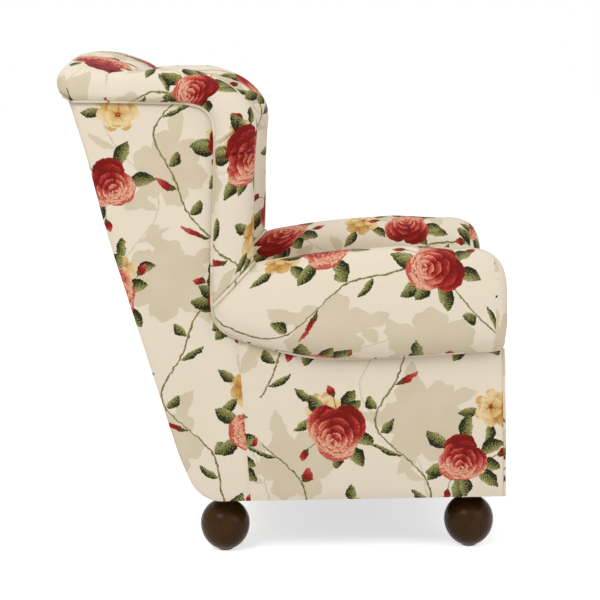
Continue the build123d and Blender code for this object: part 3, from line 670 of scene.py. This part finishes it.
def crease(points, route, width, depth):
    """Signed dent that follows a line of (y, z) places, fading at its ends."""
    flat_points = points[..., 1:]
    best = np.full(points.shape[:2], 1e9)
    where = np.zeros(points.shape[:2])
    route = np.array(route, float)
    total = len(route) - 1
    for i in range(total):
        a, b = route[i], route[i + 1]
        t = np.clip(((flat_points - a) @ (b - a)) / np.dot(b - a, b - a), 0, 1)
        gap = np.linalg.norm(flat_points - (a + t[..., None] * (b - a)), axis=-1)
        nearer = gap < best
        best = np.where(nearer, gap, best)
        where = np.where(nearer, (i + t) / total, where)
    fade = smooth(where / 0.12) * smooth((1 - where) / 0.25)
    return fade * (groove(best, width, depth) - groove(best - 2.2 * width, width, 0.45 * depth))


# wing: seam (y, z), crown (y, z), inner edge (y, z)
WING = (
    (151.5, 533, 66, 617, 149, 540), (151, 575, 65, 652, 160, 580), (147, 655, 62, 712, 179, 650),
    (141, 750, 59, 778, 196, 712), (137, 830, 55, 850, 216, 782), (136.5, 893, 52.8, 908, 238, 862),
    (143, 920, 69, 946, 252, 915), (160, 938, 108, 984, 262, 948), (188, 946.5, 166, 1010, 270, 975),
    (244.5, 950, 236, 1017, 290, 990), (300, 952.5, 295, 1015, 322, 995), (352, 954.8, 349, 1011, 356, 990))
PLEATS = (
    (((136, 862), (118, 872), (98, 886), (84, 900)), 3.0, 7.0),
    (((136, 833), (118, 838), (100, 843), (76, 845), (58, 844)), 2.8, 6.5),
    (((160, 940), (148, 955), (134, 972)), 3.0, 4.5),
    (((139, 800), (122, 803), (104, 805)), 3.4, 2.4))
wing_lines = curve_through(WING, 400)
span = np.linspace(0, 1, len(wing_lines))
level = np.ones(len(wing_lines))
wing = roll_surface(wing_lines, ROLL_X - 2.0 * (1 - smooth(span * 8)) - 3 * smooth((span - 0.9) / 0.1),
                    CROWN_X * level, 272.0 + 26 * smooth((span - 0.72) / 0.28), 0.85 * level, 58.0, 44)
mitre = wing[0, :76].copy()
wing_normal = grid_normals(wing, 60, 20, 0)
wing_reach = reach_along(wing[:, CROWN])
dent = groove(wing_reach, 6, 3.2) + groove(wing_reach[-1] - wing_reach, 4, 2.2)
wing += wing_normal * dent[:, None, None]
pleat = sum(crease(wing, *each) for each in PLEATS) * (np.arange(wing.shape[1]) < OUTER)
wing += wing_normal * pleat[..., None]
wing += wing_normal * (ripple(wing, 70.0, 1.7, 3.1) * eased(wing.shape[1]))[..., None]
wing[:, 0, 0] = SEAM_X - 2.5
both_sides("wing_roll", wing, cloth_grid(wing, 617.0), (300, 200, 780), "wing_pad", (310, 120))

# arm: seam (y, z), crown (y, z), inner edge (y, z), outer x, crown x, inner x
ARM = (
    (-352, 427.5, -352, 639.5, -352, 353, 400, 328, 255), (-330, 426, -330, 641.5, -320, 353, 400, 328, 255),
    (-250, 422, -262, 644.5, -235, 353, 400, 328, 255), (-150, 419.5, -172, 643.5, -120, 353, 400, 328, 255),
    (-70, 422, -100, 639, 0, 353, 399.5, 328, 255), (0, 434.5, -42, 632.5, 92, 353, 397, 327, 255.5),
    (60, 451.5, 2, 627, 112, 410, 392, 325.5, 257), (112, 471, 36, 622, 130, 470, 384, 323, 262),
    (140, 492, 55, 618.5, 142, 510, 376, 321, 268), (151.5, 533, 66, 617, 149, 540, 368, 320, 272))
arm_lines = curve_through(ARM, 150)
arm_full = np.interp(arm_lines[:, 2], [-60, 66], [0.62, 0.85])
arm = roll_surface(arm_lines, *arm_lines[:, 6:].T, arm_full, 60.0, 56)

# the arm's nose: its first section, drawn in to a core as it comes forward
NOSE_STEPS, NOSE_Y, NOSE_POWER = 44, -352.0, 2 / 3.5
NOSE_BENDS = 2.8, 5.0, 3.0      # how squarely it rounds in height, outside and inside
section = arm[0]
height = section[:, 2]
core_x, core_z = np.where(height < 433, 300.0, 328.0), np.clip(height, 0, 556.0)
inner_side = np.arange(len(section)) >= OUTER
reach_y = np.interp(height, [353, 425, 436, 490, 560, 640], [80, 84, 92, 98, 98, 98])
reach_y = np.where(~inner_side & (height < 440), 91.0, reach_y)
nose = []
for angle in np.linspace(0, pi / 2, NOSE_STEPS + 1)[:0:-1]:
    forward = sin(angle) ** NOSE_POWER
    shrink, wide, inward = (max(1 - forward ** bend, 0.0) ** (1 / bend) for bend in NOSE_BENDS)
    nose.append(np.column_stack([core_x + (section[:, 0] - core_x) * np.where(inner_side, inward, wide),
                                 NOSE_Y - reach_y * forward, core_z + (height - core_z) * shrink]))
arm = np.concatenate([nose, arm])
arm_normal = grid_normals(arm, 80, 20, 0)
arm_reach = reach_along(arm[:, CROWN])
steady = eased(len(arm), 14.0)[:, None] * eased(arm.shape[1])
arm += arm_normal * (groove(arm_reach[-1] - arm_reach, 6, 3.2)[:, None] * steady)[..., None]
arm += arm_normal * (ripple(arm, 90.0, 2.0, 7.7) * steady)[..., None]
nose_crease = crease(arm, ((-452, 462), (-440, 455), (-424, 452), (-405, 455)), 2.6, 2.4)
arm += arm_normal * (nose_crease * (np.arange(arm.shape[1]) < 50) * steady)[..., None]
arm_pieces = both_sides("arm_roll", arm, cloth_grid(arm, -150.0), (320, -150, 500), "arm_pad",
                        (250, 190))

# the cloth over the nose lies straight on its front, as on a dome
NOSE_ROWS = 27
core = np.column_stack([core_x, core_z])
nose_cloth = core + reach_along(arm[:NOSE_ROWS + 1])[..., None] * unit(section[:, [0, 2]] - core)
for piece, (side, _) in zip(arm_pieces, HANDS):
    layer = piece.data.uv_layers["ClothUV"].data
    for corner in range(4 * NOSE_ROWS * (arm.shape[1] - 1)):
        u, v = nose_cloth[divmod(piece.data.loops[corner].vertex_index, arm.shape[1])]
        layer[corner].uv = (u * side + 35) * MM, (v + 150) * MM

# ---- the crest roll over the top rail ----
CREST_ROWS, CREST_COLUMNS, CAP_COLUMNS, CAP_X = 84, 101, 40, 364.5
CREST_MIDDLE = ((262, 945), (268, 975), (282, 1003), (304, 1023), (336, 1038), (370, 1049), (405, 1054),
                (436, 1047), (451, 1022), (452.5, 996), (444, 973), (429, 957))
CREST_END = ((262, 945), (272, 968), (288, 986), (310, 998), (340, 1009), (374, 1017), (408, 1024),
             (437, 1024), (451.5, 1008), (453, 989), (444, 970), (429, 957))
crest_middle, crest_end = (curve_through(line, CREST_ROWS) for line in (CREST_MIDDLE, CREST_END))
seam_y = np.clip(crest_end[:, 0], 349, 424)
crest_seam = np.column_stack([seam_y, np.interp(seam_y, [346, 424], [954.7, 957])])
columns = [at_x(x * CROWN_X, crest_middle + (crest_end - crest_middle) * abs(x) ** 3.2)
           for x in np.linspace(-1, 1, CREST_COLUMNS)]
for share, x in list(zip(*roll_outline(CAP_COLUMNS, CAP_X, CROWN_X)))[-2::-1]:
    cap = at_x(x, crest_seam + (crest_end - crest_seam) * share)
    columns.append(cap)
    columns.insert(0, cap * (-1, 1, 1))
crest = np.array(columns)

# it tucks in under the wings and behind the inside back
side_x = np.abs(crest[..., 0])
under = smooth((np.clip(side_x, 262, 346) - crest[..., 1]) / 26.0) * smooth((side_x - 258) / 18)
under *= 1 - smooth((side_x - 292) / 20)
hidden = smooth((352 - crest[..., 1]) / 9.0) * smooth((side_x - 292) / 20)
crest[..., 2] -= 26 * under
crest[..., 1] += 10 * under
crest[..., 0] -= np.sign(crest[..., 0]) * 16 * hidden * smooth((side_x - 318) / 20)
crest[..., 2] -= 12 * hidden * smooth((crest[..., 2] - 965) / 20)

# gathers at its ends
crest_normal = grid_normals(crest, len(crest) // 2, CREST_ROWS // 2, 2)
turned = np.linspace(0, 1, CREST_ROWS)
gather = smooth((np.abs(crest[..., 0]) - 290) / 40) * smooth((1012 - crest[..., 2]) / 40)
gather *= np.sin(turned * 2 * pi * 13 + 0.8 * np.sin(turned * 23)) ** 2 - 0.5
crest += crest_normal * (2.2 * gather)[..., None]
ends = eased(len(crest)) * eased(len(crest))[::-1]
crest += crest_normal * (ripple(crest, 85.0, 2.0, 11.3) * ends[:, None] * eased(CREST_ROWS)[::-1])[..., None]
crest_cloth = cloth_grid(crest.swapaxes(0, 1), 957, len(crest) // 2).swapaxes(0, 1)
finish_piece(make_mesh("crest_roll", crest, crest_cloth, (0, 360, 900)), ["crest_pad"])


# ---- inside back ----
def sheet_grid(*spans):
    """Two grids of coordinates, from the (low, high, count) of each."""
    return np.meshgrid(*(np.linspace(*span) for span in spans), indexing="ij")


INSIDE_X, INSIDE_DEPTH = 276, 165.2
x, z = sheet_grid((-INSIDE_X, INSIDE_X, 93), (353, 962, 101))
swell = (1 - np.abs(x / INSIDE_X) ** 4) * (1 - np.abs((z - 680) / 330) ** 4)
y = back_y(z) - INSIDE_DEPTH - 7 * smooth((520 - z) / 150) + 2 - 20 * swell
inside_back = stacked(x, y, z)
inside_back[..., 1] += ripple(inside_back, 110.0, 2.2, 5.5)
finish_piece(make_mesh("inside_back", inside_back, stacked(x, z * 1.04 - 38), (0, 900, 650)),
             ["back_pad"])


# ---- flat covers ----
def coons(bottom, top, low, high):
    """Patch between four boundary curves of (y, z): rows run low to high, columns bottom to top."""
    u = np.linspace(0, 1, len(bottom))[:, None, None]
    v = np.linspace(0, 1, len(low))[None, :, None]
    edges = (1 - v) * bottom[:, None] + v * top[:, None] + (1 - u) * low + u * high
    corners = (1 - v) * ((1 - u) * bottom[0] + u * bottom[-1]) + v * ((1 - u) * top[0] + u * top[-1])
    return edges - corners


def inset_fade(shape, reach=7.0):
    """0 at the edges of a grid and 1 a few steps in: for its rows, for its columns and for both."""
    steps = [np.minimum(np.arange(count), count - 1 - np.arange(count)) for count in shape]
    rows, cols = (1 - (1 - np.clip(step / reach, 0, 1)) ** 2.4 for step in steps)
    return rows[:, None], cols[None, :], np.minimum(rows[:, None], cols[None, :])


def cover(name, points, uv, inside, node, hands=HANDS):
    """A stretched cover over the nodes of the same hands."""
    for piece, (_, hand) in zip(both_sides(name, points, uv, inside, node, hands=hands), hands):
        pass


def side_panel(name, grid, seed, cloth_place, inside):
    """An outside cover from its grid of (y, z), with its edges turned in."""
    _, _, out = inset_fade(grid.shape[:2])
    points = np.dstack([BODY_X - 3.0 + (3.2 * out + 2.0 * pillow(*out.shape)), grid])
    points[..., 0] += ripple(points, 120.0, 0.9, seed) * out
    cover(name, points, grid * (-1, 1) + cloth_place, inside, name + "_cover")


# the rounded foot of the back in (y, z), from the underside up to the raked back
turns = np.linspace(0, radians(74.2), 16)
heel = np.column_stack([HEEL_Y + HEEL_RADIUS * np.sin(turns),
                        BASE_Z + HEEL_RADIUS - HEEL_RADIUS * np.cos(turns)])
heel[:, 0] += back_puff(heel[:, 1])

arm_seam = under_arm[under_arm[:, 0] <= plain_seam_y(under_arm[:, 1])]
meeting_z = arm_seam[-1, 1]
plain_z = np.linspace(BASE_Z, meeting_z, 60)
plain = np.column_stack([plain_seam_y(plain_z), plain_z])
arm_grid = coons(evenly([(FRONT_Y, BASE_Z), (PLAIN_SEAM_Y, BASE_Z)], 110), evenly(arm_seam, 110),
                 evenly([(FRONT_Y, BASE_Z), (FRONT_Y, 433)], 70), evenly(plain, 70))
side_panel("outside_arm", arm_grid, 21.0, (140, 60), (200, -180, 280))

rear_seam = climbing[(climbing[:, 0] > plain_seam_y(climbing[:, 1])) & (climbing[:, 1] > meeting_z)]
corner = np.abs(rear_seam - (188, 946.5)).sum(axis=1).argmin()
front_side = np.concatenate([plain, rear_seam[:corner + 1]])
back_side = np.concatenate([heel, back_line(170, 80)])
wing_grid = coons(evenly([(PLAIN_SEAM_Y, BASE_Z), (HEEL_Y, BASE_Z)], 60), evenly(rear_seam[corner:], 60),
                  evenly(front_side, 170), evenly(back_side, 170))
side_panel("outside_wing", wing_grid, 27.0, (60, 0), (200, 220, 500))

REAR_SHAPE = 91, 150
turned_in = [(110.0, BASE_Z - 0.5), (126.0, BASE_Z - 0.5)]
profile = evenly(np.concatenate([turned_in, heel, back_line(172, 90)]), REAR_SHAPE[1])
across = np.linspace(-BODY_X + 1.5, BODY_X - 1.5, REAR_SHAPE[0])
outward = unit(np.gradient(profile, axis=0)[:, ::-1] * (1, -1))
rear = np.array([at_x(x, profile) for x in across])
fade_rows, fade_cols, _ = inset_fade(REAR_SHAPE, 5.0)
above_heel = smooth((np.arange(REAR_SHAPE[1]) - 26) / 30) * eased(REAR_SHAPE[1], 20)[::-1]
bulge = np.sin(np.linspace(0, pi, REAR_SHAPE[0]))[:, None] ** 0.5 * above_heel
rear_puff = 2.5 * bulge - 3.0 * (1 - fade_rows)
rear_puff += ripple(rear, 130.0, 0.8, 31.0) * fade_rows * fade_cols
rear[..., 1:] += outward * rear_puff[..., None]
rear_cloth = stacked(across[:, None], reach_along(profile) + 30)
cover("outside_back", rear, rear_cloth, (0, 0, 600), "outside_back_cover", ONE)


def front_panel(name, x_low, x_high, top, node, hands, seed):
    """Front cover with its edges turned back, lightly padded."""
    x, z = sheet_grid((x_low, x_high, 70), (BASE_Z, top, 60))
    _, _, out = inset_fade(x.shape, 5.0)
    points = stacked(x, FRONT_Y + 4.5 - 5.0 * out - 2.5 * pillow(*x.shape), z)
    points[..., 1] += ripple(points, 90.0, 0.9, seed) * out
    cover(name, points, stacked(x, z + 120), (0.5 * (x_low + x_high), 0, 250), node, hands)


front_panel("front_cover", -254.5, 254.5, 352, "front_border", ONE, 41.0)
front_panel("arm_face", 255.5, BODY_X - 0.5, 434, "arm_front", HANDS, 43.0)


# ---- piping ----
def piping(name, line, node, radius):
    """A cord in a seam of each side; without a node it stands for nothing in the source."""
    points, uv = tube(line, radius)
    for side, hand in HANDS:
        piece = make_mesh(name + hand, points * (side, 1, 1), uv + (0.0, -855.0),
                          line.mean(axis=0) * (side, 1, 1), (False, True))
        mend(piece)
        finish_piece(piece, [node + hand] if node else ())


piping("side_piping", curve_through(at_x(BODY_X + 5.0, seam_line)[:-4:6], 420), "side_piping", 3.7)
raised = mitre + unit(mitre - (296, 118, 565)) * 1.2
piping("mitre_piping", curve_through(raised[2::5], 110), None, 3.6)

# ---- turned feet ----
BALL, NECK, GLIDE, GLIDE_TOP, FLAT = 52.0, 23.0, 16.0, 8.0, 2.5


def turned_foot(name, x, y):
    """Ball turned on a lathe, with a neck under the base and a flat for the glide."""
    low, high = np.arcsin(GLIDE / BALL), pi - np.arcsin(NECK / BALL)
    middle = GLIDE_TOP + BALL * cos(low)
    turns = np.linspace(low, high, 72)
    ball = np.column_stack([BALL * np.sin(turns), middle - BALL * np.cos(turns)])
    below = ball[:, 1] < middle
    ball[below, 1] = middle - (middle - ball[below, 1]) * (middle - FLAT) / (middle - GLIDE_TOP)
    profile = np.concatenate([[(2.0, FLAT), (GLIDE - 1.5, FLAT)], ball,
                              [(NECK, BASE_Z - 3), (NECK, BASE_Z), (2.0, BASE_Z)]])
    radius, height = profile[:, :1], profile[:, 1:]
    around = np.linspace(0, 2 * pi, 96, endpoint=False)
    points = stacked(x + radius * np.cos(around), y + radius * np.sin(around), height)
    piece = make_mesh(name, points, stacked(60.0 * around, height), (x, y, 60), (False, True))
    finish_piece(piece, ["feet"], slot="dark_wood")


for side, hand in HANDS:
    turned_foot("ball_foot_front" + hand, 272.0 * side, -373.0)
    turned_foot("ball_foot_rear" + hand, 272.0 * side, 143.44)

# ---- seat cushion ----
SEAT_X, SEAT_FRONT, SEAT_BACK = 248.4, -441.3, 112.5
SEAT_UNDER, SEAT_LOW, SEAT_SEAM = 354.5, 355.9, 439.9       # underside, lower and upper piping
SEAT_MIDDLE = (SEAT_FRONT + SEAT_BACK) / 2
CORNER, DRAWN_IN, CROWN_RISE = 38.0, 5.0, 19
CUSHION_ROOM = (-247.5, -441.5, 352.6), (247.5, 113.5, 470.0)
MOST_BLOWN, FRAMES = 8.0, 20


def cushion_line(count, inset=0.0):
    """Rounded outline of the cushion in (x, y), its sides drawn in between the corners."""
    radius = CORNER - inset
    half = np.array([SEAT_X, (SEAT_BACK - SEAT_FRONT) / 2]) - inset - radius
    centres = np.array([(1, -1), (1, 1), (-1, 1), (-1, -1)]) * half
    t = np.linspace(0, 1, 42)[1:-1, None]
    parts = []
    for k in range(4):
        turns = np.linspace(-pi / 2, 0, 12) + k * pi / 2
        arc = centres[k] + radius * np.column_stack([np.cos(turns), np.sin(turns)])
        outward = np.array([cos(turns[-1]), sin(turns[-1])])
        side = arc[-1] + (centres[(k + 1) % 4] - centres[k]) * t - outward * DRAWN_IN * np.sin(pi * t) ** 1.2
        parts += [arc, side]
    line = np.concatenate(parts + [parts[0][:1]]) + (0, SEAT_MIDDLE)
    return evenly(line, count + 1)[:-1]


def ring_piping(name, z, radius=3.2):
    """The cord round the cushion at the given height."""
    line = np.column_stack([cushion_line(360), np.full(360, z)])
    tangent = unit(np.roll(line, -1, axis=0) - np.roll(line, 1, axis=0))
    up = np.broadcast_to([0, 0, 1.0], line.shape)
    points, uv = sweep(line, np.cross(tangent, up), up, radius)
    piece = make_mesh(name, points, uv + (0, z), (0, -160, z), (True, True))
    mend(piece)
    finish_piece(piece, ["cushion_piping"], CUSHION)


ring_piping("cushion_piping_top", SEAT_SEAM)
ring_piping("cushion_piping_foot", SEAT_LOW)


def cushion_shape():
    """Closed boxed shape: underside, boxing and crowned top, as a grid of rings."""
    outline = cushion_line(220, 4.0)
    middle = np.array([0, SEAT_MIDDLE])
    rings = [(t, SEAT_UNDER) for t in np.linspace(0.02, 1, 24)]
    rings += [(1, z) for z in np.linspace(SEAT_UNDER, SEAT_SEAM, 16)[1:-1]]
    rings += [(t, SEAT_SEAM + CROWN_RISE * (1 - t ** 3.2) ** 0.75) for t in np.linspace(1, 0.02, 34)]
    return np.array([np.column_stack([middle + (outline - middle) * t, np.full(len(outline), z)])
                     for t, z in rings])


def applied(piece):
    """The piece's mesh with its modifiers worked in; they are taken off the piece."""
    graph = bpy.context.evaluated_depsgraph_get()
    mesh = bpy.data.meshes.new_from_object(piece.evaluated_get(graph))
    piece.modifiers.clear()
    return mesh


def places(mesh):
    return np.array([vertex.co for vertex in mesh.vertices]) * 1000


def blown_out(piece):
    """Where the filling's pressure brings the points of the piece."""
    cloth = piece.modifiers.new("stuffing", "CLOTH")
    cloth.settings.use_pressure = True
    cloth.settings.uniform_pressure_force = 4.0
    cloth.settings.effector_weights.gravity = 0.0
    cloth.point_cache.frame_start, cloth.point_cache.frame_end = 1, FRAMES
    for number in range(1, FRAMES + 1):
        scene.frame_set(number)
    mesh = applied(piece)
    moved = places(mesh)
    bpy.data.meshes.remove(mesh)
    scene.frame_set(1)
    return moved


def lay_cloth(mesh, points):
    """Cloth coordinates from the side that each face looks to."""
    x, y, z = points[[loop.vertex_index for loop in mesh.loops]].T
    nx, ny, nz = np.array([face.normal for face in mesh.polygons for _ in face.loop_indices]).T
    level, sideways = np.abs(nz) > 0.5, np.abs(nx) > np.abs(ny)
    round_sides = np.where(sideways, y * np.where(nx > 0, 1, -1), 30 - x * np.where(ny > 0, 1, -1))
    values = np.column_stack([np.where(level, x + 90, round_sides), np.where(level, 350 - y, z + 40)])
    layer = mesh.uv_layers.get("ClothUV") or mesh.uv_layers.new(name="ClothUV")
    layer.data.foreach_set("uv", (values * MM).astype(np.float32).ravel())


def stuffed_cushion():
    """The cushion's cover blown out a little by its filling, held at its seams."""
    rings = cushion_shape()
    piece = make_mesh("seat_cushion_cover", rings, rings[..., :2], (0, -165, 400), (False, True))
    mend(piece, fill_ends=True)
    remesh = piece.modifiers.new("remesh", "REMESH")
    remesh.mode = "VOXEL"
    remesh.voxel_size = 0.0065
    piece.data = solid = applied(piece)
    start = places(solid)
    push = blown_out(piece) - start
    length = np.linalg.norm(push, axis=1, keepdims=True)
    push *= np.minimum(1, MOST_BLOWN / np.maximum(length, 1e-6))
    near_seam = np.minimum(np.abs(start[:, 2] - SEAT_SEAM), np.abs(start[:, 2] - SEAT_LOW))
    edge = np.min(np.linalg.norm(start[:, None, :2] - cushion_line(720)[::4], axis=2), axis=1)
    at_seam = np.exp(-(np.hypot(near_seam, np.maximum(edge - 7, 0)) / 11.0) ** 2)
    points = start + push * (1 - 0.85 * at_seam)[:, None]
    points += (ripple(points, 95.0, 2.0, 17.0) * (1 - at_seam))[:, None] * (0.4, 0.4, 1.0)
    points = np.clip(points, *CUSHION_ROOM)
    low = np.clip((SEAT_UNDER + 6 - start[:, 2]) / 6, 0, 1)
    points[:, 2] = points[:, 2] * (1 - low) + 352.8 * low
    solid.vertices.foreach_set("co", (points * MM).ravel())
    solid.update()
    lay_cloth(solid, points)
    solid.polygons.foreach_set("use_smooth", np.ones(len(solid.polygons), bool))
    smoothing = piece.modifiers.new("rounding", "SUBSURF")
    smoothing.levels = smoothing.render_levels = 1
    finish_piece(piece, ["seat_cushion"], CUSHION)


stuffed_cushion()


# ---- deck under the cushion and dust cover ----
def flat_sheet(name, x_half, y_low, y_high, z_low, z_high, node, slot):
    """A thin cloth tacked flat to the frame."""
    x, y = sheet_grid((-x_half, x_half, 60), (y_low, y_high, 60))
    piece = make_mesh(name, stacked(x, y, z_high), stacked(x, y), (0, 0, z_high - 500))
    solidify = piece.modifiers.new("thickness", "SOLIDIFY")
    solidify.thickness = (z_high - z_low) * MM
    solidify.offset = -1
    finish_piece(piece, [node], slot=slot)


flat_sheet("deck_lining", 254, -433, 108, 349.5, 351.5, "seat_deck", "deck_cloth")
flat_sheet("dust_cover_cloth", 341, -434, 128, 123.4, 124.6, "dust_cover", "dust_cloth")

# ---- floor, lights and camera ----
WHITE = (1, 1, 1, 1)
bpy.ops.mesh.primitive_plane_add(size=60, location=(0, 0, 0))
floor = bpy.context.object
floor.name = "floor"
n = new_material("pale_floor")
n.surface(Base_Color=(0.88, 0.88, 0.88, 1), Roughness=0.9, Specular_IOR_Level=0.0)
glow = n.add("ShaderNodeEmission", {"Color": WHITE, "Strength": n.straight_view() * 0.62})
both = n.add("ShaderNodeAddShader", {0: n.out(n.shader), 1: n.out(glow)})
n.put(n.tree.nodes["Material Output"].inputs["Surface"], n.out(both))
floor.data.materials.append(n.owner)

world = scene.world or bpy.data.worlds.new("studio")
scene.world = world
n = Nodes(world)
n.tree.nodes.clear()
sky = n.add("ShaderNodeBackground", {"Color": WHITE, "Strength": n.straight_view().scaled(0.42, 0.58)})
n.add("ShaderNodeOutputWorld", {"Surface": n.out(sky)})

LIT_PLACE = Vector((0, 0, 0.5))
for name, place, size, power in (("key", (-3.0, 1.6, 3.2), 1.6, 62), ("fill", (-2.4, -3.2, 1.9), 2.6, 34),
                                 ("top", (0.4, 0.2, 3.6), 2.6, 22)):
    data = bpy.data.lights.new(name, "AREA")
    data.shape = "SQUARE"
    data.size = size
    data.energy = power
    light = add_object(name, data)
    light.location = place
    light.rotation_euler = (LIT_PLACE - Vector(place)).to_track_quat("-Z", "Y").to_euler()

SENSOR, PICTURE, FOCAL_PIXELS = 36.0, 600, 1776
eye = Vector((-3.94, -0.106, 1.056))
yaw, pitch, roll = radians(1.24), radians(8.14), radians(1.35)
forward = Vector((cos(yaw) * cos(pitch), sin(yaw) * cos(pitch), -sin(pitch)))
right = forward.cross(Vector((0, 0, 1))).normalized()
up = right.cross(forward)
right, up = right * cos(roll) - up * sin(roll), right * sin(roll) + up * cos(roll)
camera_data = bpy.data.cameras.new("camera")
camera_data.sensor_width = SENSOR
camera_data.lens = SENSOR * FOCAL_PIXELS / PICTURE
camera = scene.camera = add_object("camera", camera_data)
camera.matrix_world = Matrix.Translation(eye) @ Matrix((right, up, -forward)).transposed().to_4x4()
scene.view_settings.view_transform = "Standard"
